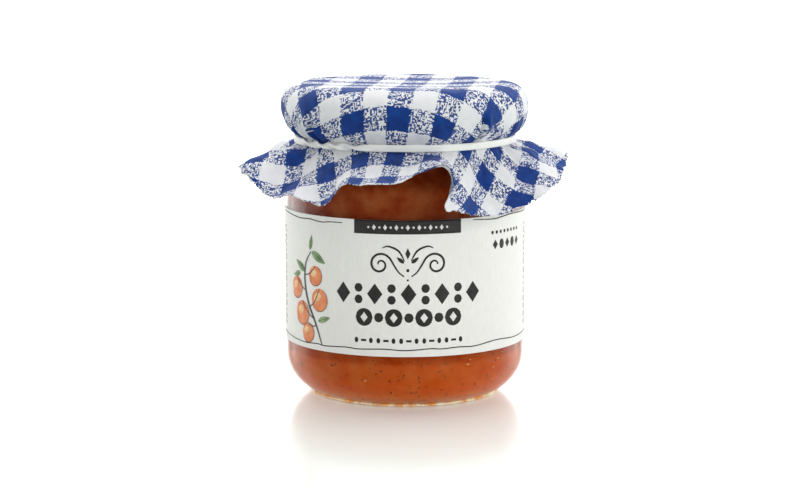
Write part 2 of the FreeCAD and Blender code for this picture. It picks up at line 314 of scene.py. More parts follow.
def apricot_jam():
    """Cooked fruit with soft lumps of pulp, its colour set by height: lighter at the foot as painted light,
    darker in a band under the label's lower edge and towards the top as painted shade.
    """
    material, tree = tree_of("apricot_jam")
    place = millimetres(tree)
    height = put(tree, "ShaderNodeSeparateXYZ", {0: place}).outputs[2]
    drift = grain(tree, place, 0.09, 2.0, stretch=(1.0, 1.0, 1.6))
    level = calc(tree, "MULTIPLY_ADD", calc(tree, "SUBTRACT", drift, 0.5), 1.6, height)
    ramp = put(tree, "ShaderNodeValToRGB", {0: calc(tree, "DIVIDE", level, JAM_TOP)})
    # Colours by height: the bright foot is painted light; the dark band from 13 to 16.5 mm and the dark top
    # are painted shade.
    painted_light_and_shade_stops = [
        (2.6, (255, 140, 46)),
        (5.5, (222, 90, 18)),
        (9.0, (198, 81, 22)),
        (12.7, (193, 78, 25)),
        (13.3, (176, 60, 6)),
        (16.5, (172, 58, 4)),
        (50.0, (150, 50, 10)),
        (60.0, (134, 40, 8)),
        (JAM_TOP, (120, 32, 6)),
    ]
    for _ in range(len(painted_light_and_shade_stops) - 2):
        ramp.color_ramp.elements.new(0.5)
    for element, (at_height, colour) in zip(ramp.color_ramp.elements, painted_light_and_shade_stops):
        element.position = at_height / JAM_TOP
        element.color = srgb(*colour)
    pulp = spread(tree, grain(tree, place, 0.16, 3.0, roughness=0.6), 0.35, 0.68, 0.0, 1.0)
    lighter = blended(tree, 0.22, ramp.outputs[0], srgb(236, 150, 84))
    colour = blended(tree, pulp, ramp.outputs[0], lighter)
    normal = bumped(tree, grain(tree, place, 0.5, 2.0), 0.15, 0.4)
    rough = spread(tree, pulp, 0.0, 1.0, 0.25, 0.4)
    inputs = {"Base Color": colour, "Roughness": rough, "Normal": normal,
              "Subsurface Weight": 0.35, "Subsurface Scale": 1.0,
              "Subsurface Radius": (0.006, 0.0022, 0.0008), "IOR": 1.42,
              "Specular IOR Level": 0.0}
    finished(tree, put(tree, "ShaderNodeBsdfPrincipled", inputs).outputs[0])
    return material


def seed_skin(name, dark, light):
    """Dry specks: two tones, rough."""
    material, tree = tree_of(name)
    place = millimetres(tree)
    colour = blended(tree, grain(tree, place, 0.8), srgb(*dark), srgb(*light))
    normal = bumped(tree, grain(tree, place, 12.0), 0.03)
    inputs = {"Base Color": colour, "Roughness": 0.5, "Normal": normal}
    finished(tree, put(tree, "ShaderNodeBsdfPrincipled", inputs).outputs[0])
    return material


def lid_enamel():
    """Cream enamel on sheet steel, with the slight ripple of stoved paint."""
    material, tree = tree_of("lid_enamel")
    place = millimetres(tree)
    colour = blended(tree, grain(tree, place, 0.12), srgb(228, 222, 206), srgb(238, 233, 220))
    normal = bumped(tree, grain(tree, place, 1.2, 1.0), 0.02, 0.6)
    rough = toned(tree, grain(tree, place, 0.3), 0.22, 0.34)
    inputs = {"Base Color": colour, "Roughness": rough, "Normal": normal, "Coat Weight": 0.4}
    finished(tree, put(tree, "ShaderNodeBsdfPrincipled", inputs).outputs[0])
    return material


def label_paper():
    """Uncoated white paper with faint fibres."""
    material, tree = tree_of("label_paper")
    place = millimetres(tree)
    fibre = grain(tree, place, 1.1, 4.0, stretch=(1.0, 1.0, 0.35), roughness=0.65)
    colour = blended(tree, toned(tree, fibre, 0.0, 1.0), srgb(236, 234, 230), srgb(243, 241, 238))
    normal = bumped(tree, fibre, 0.03, 0.5)
    rough = toned(tree, fibre, 0.5, 0.65)
    inputs = {"Base Color": colour, "Roughness": rough, "Normal": normal, "Specular IOR Level": 0.35}
    finished(tree, put(tree, "ShaderNodeBsdfPrincipled", inputs).outputs[0])
    return material


def ink(name, thin, full):
    """Printing ink that lets a little of the paper's grain through."""
    material, tree = tree_of(name)
    place = millimetres(tree)
    fibre = grain(tree, place, 0.45, 3.0)
    colour = blended(tree, spread(tree, fibre, 0.32, 0.66, 0.0, 1.0), srgb(*thin), srgb(*full))
    normal = bumped(tree, grain(tree, place, 3.0, 2.0), 0.02, 0.4)
    rough = toned(tree, fibre, 0.42, 0.55)
    inputs = {"Base Color": colour, "Roughness": rough, "Normal": normal, "Specular IOR Level": 0.3}
    finished(tree, put(tree, "ShaderNodeBsdfPrincipled", inputs).outputs[0])
    return material


def white_elastic():
    """A flat white band, faintly ribbed along its length."""
    material, tree = tree_of("white_elastic")
    place = millimetres(tree)
    tone = grain(tree, place, 0.2)
    colour = blended(tree, tone, srgb(244, 247, 241), srgb(251, 251, 246))
    ribs = put(tree, "ShaderNodeTexWave", {"Vector": place, "Scale": 0.9, "Distortion": 0.2},
               bands_direction="Z").outputs["Fac"]
    normal = bumped(tree, ribs, 0.08, 0.6)
    inputs = {"Base Color": colour, "Roughness": 0.55, "Normal": normal, "Subsurface Weight": 0.15,
              "Subsurface Radius": (0.001, 0.001, 0.001), "Subsurface Scale": 0.5}
    finished(tree, put(tree, "ShaderNodeBsdfPrincipled", inputs).outputs[0])
    return material


# --------------------------------------------------------------------------------------------- glass, jam
jam_low, jam_high = corners("jam")
JAM_TOP = float(jam_high[2])
INTO_WALL = 0.2
INTO_BASE = 3.2
BASE_LEVEL = 14.0
OUTLINE_STEP = 0.4
JAM_COLUMNS = 192
AXIS_CLEAR = 0.5


def wall_outline(name):
    """A turned CAD node's outline as points of radius and height, from its foot's centre to its top's."""
    found = np.array([v.co for v in nodes_of[name].data.vertices], float) / MM
    middle = (found[:, 2].min() + found[:, 2].max()) / 2
    outline = np.column_stack([np.hypot(found[:, 0], found[:, 1]), found[:, 2]])
    outline = np.unique(np.round(outline, 2), axis=0)
    outline = outline[np.argsort(np.arctan2(outline[:, 1] - middle, outline[:, 0]))]
    kept = [outline[0]]
    for point in outline[1:]:
        if np.hypot(*(point - kept[-1])) > OUTLINE_STEP:
            kept.append(point)
    return np.array(kept)


def jam_outline():
    """The jam's outline grown into the glass, with its top left where it is."""
    outline = wall_outline("jam")
    outline = outline[outline[:, 0] > AXIS_CLEAR]
    steps = np.gradient(outline, axis=0)
    outward = np.column_stack([steps[:, 1], -steps[:, 0]])
    outward /= np.linalg.norm(outward, axis=1)[:, None]
    deep = smooth((BASE_LEVEL - outline[:, 1]) / BASE_LEVEL)
    outline = outline + outward * (INTO_WALL + (INTO_BASE - INTO_WALL) * deep)[:, None]
    outline[:, 1] = np.minimum(outline[:, 1], JAM_TOP)
    return outline


def turned(outline, columns):
    """Points and faces of an outline turned about the jar's axis and closed at both ends."""
    azimuths = np.arange(columns) * 360.0 / columns
    rings = [on_circle(azimuths, radius, height) for radius, height in outline]
    points = np.concatenate(rings + [[(0, 0, outline[0][1])], [(0, 0, outline[-1][1])]])
    faces = []
    for ring in range(len(outline) - 1):
        for column in range(columns):
            here, after = ring * columns, ring * columns + columns
            beside = (column + 1) % columns
            faces.append((here + column, here + beside, after + beside, after + column))
    bottom, top = len(points) - 2, len(points) - 1
    last = (len(outline) - 1) * columns
    for column in range(columns):
        beside = (column + 1) % columns
        faces.append((bottom, beside, column))
        faces.append((top, last + column, last + beside))
    return points, faces


def jam_piece():
    """The filling, which reaches into the glass."""
    points, faces = turned(jam_outline(), JAM_COLUMNS)
    jam = new_piece("jam_fill", points, faces, apricot_jam())
    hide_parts("jam")
    return jam


def specks(name, material, count, size_range, seed, sink):
    """Small uneven grains at the jam's surface, joined into one mesh."""
    draw = random.Random(seed)
    outline = jam_outline()
    lengths = np.concatenate([[0.0], np.cumsum(np.hypot(*np.diff(outline, axis=0).T))])
    shape, sides = bead_shape()
    points, faces = [], []
    for _ in range(count):
        at_length = draw.uniform(lengths[1], lengths[-1] - jam_high[0])
        radius = float(np.interp(at_length, lengths, outline[:, 0]))
        height = float(np.interp(at_length, lengths, outline[:, 1]))
        middle = Vector(on_circle(draw.uniform(0.0, 360.0), radius - sink, height + sink * 0.3))
        size = draw.uniform(*size_range) / 2
        squeeze = (draw.uniform(0.7, 1.4), draw.uniform(0.7, 1.4), draw.uniform(0.6, 1.2))
        start = len(points)
        points.extend(tuple(middle + Vector(corner * squeeze) * size) for corner in shape)
        faces.extend(tuple(start + v for v in side) for side in sides)
    return new_piece(name, points, faces, material)


def bead_shape():
    """The corners and faces of a small round bead of radius 1."""
    made = bmesh.new()
    bmesh.ops.create_icosphere(made, subdivisions=1, radius=1.0)
    made.verts.index_update()
    shape = np.array([v.co for v in made.verts])
    sides = [tuple(v.index for v in face.verts) for face in made.faces]
    made.free()
    return shape, sides


# --------------------------------------------------------------------------------------------- cloth
lid_low, lid_high = corners("lid")
band_low, band_high = corners("elastic_band")
LID_RADIUS = float(lid_high[0])
CLOTH = 0.26
CREST_RADIUS = LID_RADIUS - 4.6
CREST_HEIGHT = float(lid_high[2]) + 0.85
CROWN_SAG = 0.55
CROWN_FLATNESS = 2.5
CROWN_EDGE = 1.5
BULGE = 7.7
BULGE_DROP = 6.85
PUFF_POWER = 2.4
UNDER_FALL = 3.6
UNDER_IN = 2.6
UNDER_RISE = 1.0
UNDER_BAND = 1.0
WAIST_RADIUS = -float(band_low[0]) - UNDER_BAND
WAIST_TOP = float(band_high[2]) + 0.1
WAIST_BOTTOM = float(band_low[2]) - 0.1
SAG_SHARE = 0.08
ARCH_SHARE = 0.13
ARCH_FROM = 60.0
ARCH_RISE = 6.0
ARCH_SIDE = 40.0
ARCH_FADE = 18.0
COLUMNS = 480
CROWN_ROWS = 10
BULGE_ROWS = 17
UNDER_ROWS = 17
WAIST_ROWS = 3
SKIRT_ROWS = 34

# The hem: where a point of the cloth's edge lies in the flat cloth, and its azimuth, radius and height.
# The rows up to 76 are a curve that another program fitted, thinned out and rounded; the others were
# chosen one by one.
HEM = [
    (-55, -62, 50, 65),
    (-44, -50, 47, 59),
    (-36, -40, 47, 60),
    (-29, -28, 47, 59),
    (-20, -19, 51, 65),
    (-10, -12, 50, 65),
    (0, -2, 51, 66),
    (11, 10, 52, 71),
    (16, 14, 51, 69),
    (20, 15, 50, 64),
    (25, 13, 47, 58),
    (29, 19, 45, 57),
    (35, 27, 42, 55),
    (45, 42, 42, 55),
    (51, 49, 46, 58),
    (57, 53, 48, 60),
    (64, 60, 49, 63),
    (76, 73, 46, 65),
    (84, 83.0, 43.6, 61.0),
    (91, 91.0, 45.0, 62.5),
    (98, 98.0, 47.2, 64.6),
    (105, 105.0, 48.4, 66.2),
    (112, 113.5, 47.0, 60.5),
    (120, 121.5, 43.0, 56.5),
    (128, 128.5, 42.6, 56.3),
    (135, 134.0, 46.0, 60.0),
    (142, 140.0, 50.2, 66.0),
    (150, 149.5, 49.5, 63.5),
    (159, 160.0, 45.2, 58.6),
    (167, 168.0, 42.5, 56.0),
    (175, 174.0, 46.0, 59.6),
    (183, 181.0, 50.4, 66.3),
    (191, 190.0, 50.6, 66.8),
    (199, 200.5, 46.6, 60.2),
    (207, 209.0, 42.8, 56.0),
    (215, 216.0, 43.0, 57.0),
    (223, 222.0, 47.2, 62.0),
    (231, 229.0, 50.6, 67.2),
    (239, 238.5, 48.6, 62.0),
    (247, 248.0, 44.0, 57.4),
    (255, 256.0, 42.0, 56.4),
    (263, 262.5, 43.6, 58.6),
    (271, 268.5, 46.0, 62.0),
    (280, 275.5, 46.4, 63.0),
    (288, 281.5, 46.6, 63.8),
    (296, 288.5, 48.7, 65.8),
]
# Where a point of the cloth goes at the band, as its place in the flat cloth and its azimuth there.
WAIST = [
    (-170, -170),
    (-100, -106),
    (-75, -83),
    (-58, -66),
    (-48, -58),
    (-36.4, -46.3),
    (-17.7, -21.4),
    (-2.3, -3.1),
    (12.9, 15.4),
    (29.1, 32.4),
    (40, 41),
    (60, 61),
    (90, 92),
    (150, 151),
]
# Creases that run up from the band: azimuth, depth, width and height.
PUCKERS = [
    (-84, 0.9, 3.0, 5.0),
    (-69, 1.2, 2.6, 6.0),
    (-58, 1.2, 1.6, 5.0),
    (-49, 3.0, 1.5, 8.0),
    (-41, 1.4, 1.4, 4.5),
    (-27, 0.6, 2.0, 3.5),
    (6, 0.5, 2.6, 3.0),
    (28, 0.9, 1.6, 4.0),
    (38, 3.2, 1.5, 8.0),
    (46, 1.2, 1.5, 5.5),
    (62, 1.0, 2.8, 5.5),
    (77, 1.2, 2.6, 6.0),
    (93, 1.0, 3.0, 5.0),
    (108, 1.6, 2.8, 7.0),
    (124, 0.9, 2.6, 5.0),
    (139, 1.3, 3.0, 6.0),
    (157, 1.0, 2.6, 5.0),
    (172, 1.7, 2.8, 7.5),
    (189, 0.9, 2.6, 5.0),
    (203, 1.2, 3.0, 6.0),
    (220, 1.5, 2.8, 7.0),
    (238, 0.9, 2.8, 5.0),
    (252, 1.3, 2.6, 6.0),
    (264, 0.8, 2.6, 4.5),
]
# How a crease deepens above the band and fades again, and the soft ridges on both sides of it.
CREASE_START = 0.45
CREASE_FADE = 1.1
CREASE_PEAK = 2.6
RIDGE_SHARE = 0.45
RIDGE_AWAY = 1.9
RIDGE_SPREAD = 0.6
FINE_PLEATS = 58
PLEAT_DEPTH = (0.2, 0.75)
PLEAT_WIDTH = (1.0, 1.9)
PLEAT_SEED = 11
CALM_FRONT = 34.0
CALM_SHARE = 0.4
PLEAT_HEIGHT = 3.2
LUMP_OUT = 0.8
LUMP_UP = 0.5
CROWN_WAVE = 0.35
RIPPLE = 1.1
FINE_RIPPLE = 0.35
TEETH = (-0.85, 0.35)
HEM_SEED = 5
FRAY_SEED = 7
FRAY_THREADS = 2200


def turn_between(first, second):
    """The signed angle from one azimuth to another, between -180 and 180."""
    return (np.asarray(first) - second + 180.0) % 360.0 - 180.0


def bezier(corners_of, share):
    """A point of a cubic curve."""
    a, b, c, d = (np.array(corner, float) for corner in corners_of)
    back = 1.0 - share
    return a * back**3 + 3 * b * back**2 * share + 3 * c * back * share**2 + d * share**3


def cover_profile():
    """Radius and height of each row from the crown's centre down to the band's lower edge."""
    rows = []
    for row in range(1, CROWN_ROWS + 1):
        share = row / CROWN_ROWS
        sag = CROWN_SAG * (1.0 - share**CROWN_FLATNESS) ** CROWN_EDGE
        rows.append((CREST_RADIUS * share, CREST_HEIGHT - sag))
    for row in range(1, BULGE_ROWS + 1):
        turn = math.radians(90.0 * (1.0 - row / BULGE_ROWS))
        out = max(math.cos(turn), 0.0) ** (2.0 / PUFF_POWER)
        up = max(math.sin(turn), 0.0) ** (2.0 / PUFF_POWER)
        rows.append((CREST_RADIUS + BULGE * out, CREST_HEIGHT - BULGE_DROP * (1.0 - up)))
    wide, level = rows[-1]
    under = [(wide, level), (wide, level - UNDER_FALL), (wide - UNDER_IN, WAIST_TOP + UNDER_RISE),
             (WAIST_RADIUS, WAIST_TOP)]
    for row in range(1, UNDER_ROWS + 1):
        rows.append(tuple(bezier(under, row / UNDER_ROWS)))
    for row in range(1, WAIST_ROWS + 1):
        rows.append((WAIST_RADIUS, WAIST_TOP + (WAIST_BOTTOM - WAIST_TOP) * row / WAIST_ROWS))
    return np.array(rows)


def crease_depth(azimuth, rise):
    """How far the puckers over the band pull the cloth in, at heights above the band."""
    pulled = np.zeros(np.broadcast(azimuth, rise).shape)
    for place, depth, width, height in PUCKERS:
        away = turn_between(azimuth, place) / width
        share = np.clip(rise / height, 0.0, 1.0)
        held = share**CREASE_START * (1.0 - share) ** CREASE_FADE * CREASE_PEAK
        ridges = RIDGE_SHARE * np.exp(-((np.abs(away) - RIDGE_AWAY) ** 2) / RIDGE_SPREAD)
        pulled += depth * held * (np.exp(-away**2) - ridges)
    return pulled


def fine_pleats():
    """Small gathers at the band: azimuth, depth and width; the front has shallower ones."""
    draw = random.Random(PLEAT_SEED)
    made = []
    for place in range(FINE_PLEATS):
        azimuth = (place + draw.uniform(-0.35, 0.35)) * 360.0 / FINE_PLEATS
        calm = CALM_SHARE if abs(turn_between(azimuth, 0.0)) < CALM_FRONT else 1.0
        made.append((azimuth, draw.uniform(*PLEAT_DEPTH) * calm, draw.uniform(*PLEAT_WIDTH)))
    return made


def gathering(azimuth):
    """How deep the small gathers are at each azimuth."""
    total = np.zeros_like(azimuth)
    for place, depth, width in fine_pleats():
        total += depth * np.exp(-((turn_between(azimuth, place) / width) ** 2))
    return total


def lumps(points, scale, seed):
    """Smooth noise at each point of a grid, in waves a millimetre."""
    shift = Vector((seed * 17.3, seed * 5.1, seed * 9.7))
    flat = points.reshape(-1, points.shape[-1])
    found = [noise.noise(Vector(tuple(p)) * scale + shift) for p in flat]
    return np.array(found).reshape(points.shape[:-1])


def upper_cloth(profile, lengths, theta):
    """The rows from the crown to the band's lower edge, and the azimuths at the last of them."""
    waist_turn = loop_curve([a for a, _ in WAIST], [turn_between(b, a) for a, b in WAIST])(theta)
    widest = lengths[CROWN_ROWS + BULGE_ROWS - 1]
    waist_from = lengths[CROWN_ROWS + BULGE_ROWS + UNDER_ROWS - 1]
    share = smooth((lengths - widest + 3.0) / (waist_from - widest + 3.0))[:, None]
    azimuth = theta + waist_turn * share
    radius = np.repeat(profile[:, :1], COLUMNS, axis=1)
    height = np.repeat(profile[:, 1:], COLUMNS, axis=1)
    puffed = smooth((lengths - CREST_RADIUS + 8.0) / 12.0)[:, None] * (1.0 - share)
    rough_place = on_circle(azimuth, radius, height)
    radius = radius + puffed * lumps(rough_place, 0.09, 1) * LUMP_OUT
    height = height + puffed * lumps(rough_place, 0.11, 2) * LUMP_UP
    crown_wave = np.minimum(lumps(rough_place, 0.06, 3), 0.3)
    height = height + (1.0 - puffed) * (1.0 - share) * crown_wave * CROWN_WAVE
    rise = height - WAIST_TOP
    above = np.where(lengths[:, None] > widest - 4.0, np.clip(rise, 0.0, None), 99.0)
    radius = radius - crease_depth(azimuth, above)
    fading = np.clip(1.0 - above / PLEAT_HEIGHT, 0.0, 1.0)
    radius = radius - gathering(azimuth) * fading * np.clip(above / 0.8, 0.12, 1.0)
    return on_circle(azimuth, radius, height), azimuth[-1]


def hem_line(theta):
    """The hem's azimuths, radii and heights."""
    knots = [row[0] for row in HEM]
    hem_azimuth = theta + loop_curve(knots, [turn_between(row[1], row[0]) for row in HEM])(theta)
    hem_radius = loop_curve(knots, [row[2] for row in HEM])(theta)
    hem_height = loop_curve(knots, [row[3] for row in HEM])(theta)
    return hem_azimuth, hem_radius, hem_height


def skirt_cloth(start, waist_azimuth, theta, flat_length):
    """The rows from the band to the hem, and how far down the skirt each point lies."""
    teeth = random.Random(HEM_SEED)
    end = 1.0 + np.array([teeth.uniform(*TEETH) for _ in theta]) / flat_length
    hem_azimuth, hem_radius, hem_height = hem_line(theta)
    hem = on_circle(hem_azimuth, hem_radius, hem_height)
    reach = hem - start
    level = np.hypot(reach[:, 0], reach[:, 1])
    length = np.linalg.norm(reach, axis=1)
    inward = np.column_stack([reach[:, 0] / level * reach[:, 2], reach[:, 1] / level * reach[:, 2], -level])
    inward /= length[:, None]
    beside = smooth((np.abs(turn_between(hem_azimuth, 0.0)) - ARCH_SIDE) / ARCH_FADE)
    bow = SAG_SHARE - ARCH_SHARE * smooth((hem_height - ARCH_FROM) / ARCH_RISE) * beside
    skirt, shares = [], []
    for row in range(1, SKIRT_ROWS + 1):
        share = row / SKIRT_ROWS * (1.0 + (end - 1.0) * smooth(row / SKIRT_ROWS * 3.0 - 2.0))
        sag = bow * length * np.sin(np.pi * np.minimum(share, 1.0))
        skirt.append(start + reach * share[:, None] + inward * sag[:, None])
        shares.append(share)
    skirt, shares = np.array(skirt), np.array(shares)
    fading = np.clip(shares / 0.06, 0.0, 1.0) * np.clip(1.0 - shares / 0.5, 0.0, 1.0) ** 1.5
    pinch = gathering(waist_azimuth) * fading
    ripple = lumps(skirt, 0.13, 4) * RIPPLE + lumps(skirt, 0.33, 5) * FINE_RIPPLE
    skirt = skirt + inward[None] * (pinch * 0.9 + ripple * smooth(shares * 2.5))[..., None]
    return skirt, shares


def cloth_grid():
    """The cover's points as rows by columns, and each point's place in the flat cloth."""
    profile = cover_profile()
    lengths = np.cumsum(np.hypot(*np.diff(np.vstack([[0.0, profile[0][1]], profile]), axis=0).T))
    theta = (np.arange(COLUMNS) + 0.5) * 360.0 / COLUMNS - 180.0
    upper, waist_azimuth = upper_cloth(profile, lengths, theta)
    flat_length = FLAT_RADIUS - lengths[-1]
    skirt, shares = skirt_cloth(upper[-1], waist_azimuth, theta, flat_length)
    rho = np.concatenate([np.repeat(lengths[:, None], COLUMNS, axis=1), lengths[-1] + shares * flat_length])
    turn = np.radians(theta)
    return np.concatenate([upper, skirt]), np.stack([rho * np.sin(turn), rho * np.cos(turn)], axis=-1)


def cloth_piece(points, flat):
    """The cover's mesh, with its place in the flat cloth kept as a UV map in millimetres."""
    rows, columns = points.shape[:2]
    everything = np.concatenate([points.reshape(-1, 3), [points[0].mean(axis=0)]])
    places = np.concatenate([flat.reshape(-1, 2), [(0.0, 0.0)]])
    middle = len(everything) - 1
    faces = []
    for column in range(columns):
        faces.append((middle, column, (column + 1) % columns))
    for row in range(rows - 1):
        for column in range(columns):
            here, after, beside = row * columns, (row + 1) * columns, (column + 1) % columns
            faces.append((here + column, after + column, after + beside, here + beside))
    cloth = new_piece("gingham_cover", everything, faces, gingham())
    layer = cloth.data.uv_layers.new(name="flat")
    corner_of = np.zeros(len(cloth.data.loops), int)
    cloth.data.loops.foreach_get("vertex_index", corner_of)
    layer.data.foreach_set("uv", places[corner_of].astype(np.float32).ravel())
    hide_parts("cloth_cover")
    return thicken(cloth, CLOTH, -1.0)


def fray_piece(points):
    """Short loose threads all along the hem, each a thin spike."""
    draw = random.Random(FRAY_SEED)
    hem, before = points[-1], points[-4]
    spikes, faces = [], []
    for _ in range(FRAY_THREADS):
        place = draw.uniform(0.0, len(hem))
        column = int(place) % len(hem)
        beside = (column + 1) % len(hem)
        share = place - int(place)
        root = Vector(hem[column] * (1 - share) + hem[beside] * share)
        out = Vector(hem[column] - before[column]).normalized()
        along = Vector(hem[beside] - hem[column]).normalized()
        up = out.cross(along)
        reach = draw.uniform(0.2, 0.85)
        way = (out + along * draw.uniform(-0.8, 0.8) + up * draw.uniform(-0.45, 0.3)).normalized()
        thick = draw.uniform(0.05, 0.11)
        start = len(spikes)
        root = root - out * 0.3 - up * 0.1
        tip = root + way * reach + out * 0.3
        spikes.extend([root + along * thick, root - along * thick, root + up * thick, tip])
        faces.extend([(start, start + 1, start + 3), (start + 1, start + 2, start + 3),
                      (start + 2, start, start + 3), (start, start + 2, start + 1)])
    return new_piece("cover_fray", spikes, faces, fray_cotton())


# --------------------------------------------------------------------------------------------- band
BAND_HALF_WIDTH = 0.98
BAND_HALF_THICKNESS = 0.36
BAND_CORNER_POWER = 4.0
BAND_SIDES = 16
BAND_COLUMNS = 420
BAND_TWIST = (-68.0, -14.0)
BAND_TURN = 720.0
BAND_LEAN = 6.0
BAND_WANDER = 0.18
BAND_CLEAR = 0.05


def elastic_piece():
    """A flat band round the neck, pressed on the cloth, twisted twice at the left."""
    azimuths = np.arange(BAND_COLUMNS) * 360.0 / BAND_COLUMNS - 180.0
    middle = (band_low[2] + band_high[2]) / 2
    points = []
    for azimuth in azimuths:
        share = (azimuth - BAND_TWIST[0]) / (BAND_TWIST[1] - BAND_TWIST[0])
        around = math.radians(azimuth)
        lean = BAND_LEAN * noise.noise(Vector((around * 2.2, 3.1, 0.0)))
        twist = math.radians(BAND_TURN * float(smooth(share)) + lean)
        press = abs(math.cos(twist)) * BAND_HALF_THICKNESS + abs(math.sin(twist)) * BAND_HALF_WIDTH
        wander = BAND_WANDER * noise.noise(Vector((math.cos(around), math.sin(around), 4.0)))
        for side in range(BAND_SIDES):
            turn = math.radians(side * 360.0 / BAND_SIDES)
            power = 2.0 / BAND_CORNER_POWER
            tall = BAND_HALF_WIDTH * math.copysign(abs(math.sin(turn)) ** power, math.sin(turn))
            deep = BAND_HALF_THICKNESS * math.copysign(abs(math.cos(turn)) ** power, math.cos(turn))
            out = deep * math.cos(twist) + tall * math.sin(twist)
            up = tall * math.cos(twist) - deep * math.sin(twist)
            points.append(on_circle(azimuth, WAIST_RADIUS + BAND_CLEAR + press + out, middle + wander + up))
    faces = []
    for column in range(BAND_COLUMNS):
        here, after = column * BAND_SIDES, (column + 1) % BAND_COLUMNS * BAND_SIDES
        for side in range(BAND_SIDES):
            beside = (side + 1) % BAND_SIDES
            faces.append((here + side, after + side, after + beside, here + beside))
    band = new_piece("elastic_loop", points, faces, white_elastic())
    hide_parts("elastic_band")
    return band


# --------------------------------------------------------------------------------------------- print
label_low, label_high = corners("paper_label")
LABEL_RADIUS = float(label_high[0])
LABEL_BOTTOM = float(label_low[2])
LABEL_TOP = float(label_high[2])
INK = 0.02
LAYER = 0.025
PATCH_STEP = 0.35
PATCH_ROW = 0.6
PATHS_STEP = 0.4
THINNEST = 0.004


class Print:
    """One ink's shapes on the label, in millimetres along it from the front's middle and above the foot."""

    def __init__(self, layer=1):
        self.points = []
        self.faces = []
        self.radius = LABEL_RADIUS + LAYER * layer

    def grid(self, places):
        """A sheet through rows of places."""
        rows, columns = places.shape[:2]
        start = len(self.points)
        flat = places.reshape(-1, 2)
        azimuths = np.degrees(flat[:, 0] / LABEL_RADIUS)
        self.points.extend(on_circle(azimuths, self.radius, flat[:, 1]))
        for row in range(rows - 1):
            for column in range(columns - 1):
                corner = start + row * columns + column
                self.faces.append((corner, corner + columns, corner + columns + 1, corner + 1))

    def patch(self, centre, half_width, half_height, shape, turn=0.0):
        """A shape whose half height at each place across it is a share from shape()."""
        across = np.linspace(-1.0, 1.0, max(9, int(half_width * 2 / PATCH_STEP) | 1))
        down = np.linspace(1.0, -1.0, max(3, int(half_height * 2 / PATCH_ROW) | 1))
        heights = np.array([max(shape(a), THINNEST) for a in across])
        x = across[:, None] * half_width + 0.0 * down[None]
        y = heights[:, None] * down[None] * half_height
        lean = math.radians(turn)
        places = np.stack([centre[0] + x * math.cos(lean) - y * math.sin(lean),
                           centre[1] + x * math.sin(lean) + y * math.cos(lean)], axis=-1)
        self.grid(places)

    def stroke(self, path, width, taper=0.0):
        """A line of that width through the path's points, thinner towards its ends by the taper."""
        path = smooth_path(path)
        ahead = np.gradient(path, axis=0)
        ahead /= np.linalg.norm(ahead, axis=1)[:, None]
        side = np.column_stack([-ahead[:, 1], ahead[:, 0]])
        share = np.linspace(-1.0, 1.0, len(path))
        half = width / 2 * (1.0 - taper * share**2)
        self.grid(np.stack([path + side * half[:, None], path - side * half[:, None]], axis=1))

    def finish(self, name, material):
        """The ink's mesh piece."""
        piece = new_piece(name, self.points, self.faces, material)
        return thicken(piece, INK, 0.0)


def smooth_path(path):
    """A path's points joined by a smooth curve."""
    path = np.array(path, float)
    held = np.vstack([2 * path[0] - path[1], path, 2 * path[-1] - path[-2]])
    made = []
    for i in range(len(path) - 1):
        a, b, c, d = held[i : i + 4]
        steps = max(3, int(np.linalg.norm(c - b) / PATHS_STEP))
        for t in np.arange(steps) / steps:
            made.append(0.5 * (2 * b + (c - a) * t + (2 * a - 5 * b + 4 * c - d) * t**2
                               + (3 * b - a - 3 * c + d) * t**3))
    made.append(path[-1])
    return np.array(made)


def disc(place):
    """A round shape."""
    return math.sqrt(max(1.0 - place * place, 0.0))


def lozenge(place):
    """A diamond."""
    return 1.0 - abs(place)


def block(place):
    """A bar."""
    return 1.0


def leaf(place):
    """A leaf, blunter at its start."""
    return max(1.0 - place * place, 0.0) ** 0.8 * (1.0 - 0.35 * place)


def rule_lines(black):
    """Thin wavering lines along the label's edges; another program measured part of their points."""
    top_left = [(-52, -1.0), (-44, -0.9), (-35, -1.4), (-30, -1.2), (-25.5, -1.6), (-22, -1.3), (-18, -1.2)]
    top_right = [(19.5, -0.5), (23, -0.7), (27.5, -0.9), (32, -0.5), (36, -0.3), (45, -0.6), (52, -0.5)]
    bottom = [(-52, 2.3), (-46, 2.2), (-38, 1.7), (-32, 1.5), (-27, 1.8), (-24, 1.6), (-17, 2.0),
              (-13, 1.8), (-6, 2.1), (0, 1.8), (7, 2.2), (10, 2.0), (15, 2.2), (20, 2.0), (26, 2.6),
              (30, 2.7), (38, 2.2), (47, 2.4), (52, 2.2)]
    lines = [(top_left, LABEL_TOP, 0.3, 0.3), (top_right, LABEL_TOP, 0.34, 0.4),
             (bottom, LABEL_BOTTOM, 0.3, 0.2)]
    for path, edge, width, taper in lines:
        black.stroke([(along, edge + away) for along, away in path], width, taper)


def top_bar(black, white):
    """A black bar at the label's top edge with a row of small white lozenges and dots."""
    middle, half = 0.7, 15.0
    black.patch((middle, LABEL_TOP - 1.9), half, 1.9, block)
    for place in range(-7, 8):
        centre = (middle + place * 1.55, LABEL_TOP - 1.95)
        if place % 2:
            white.patch(centre, 0.32, 0.32, disc)
        else:
            white.patch(centre, 0.55, 0.8, lozenge)


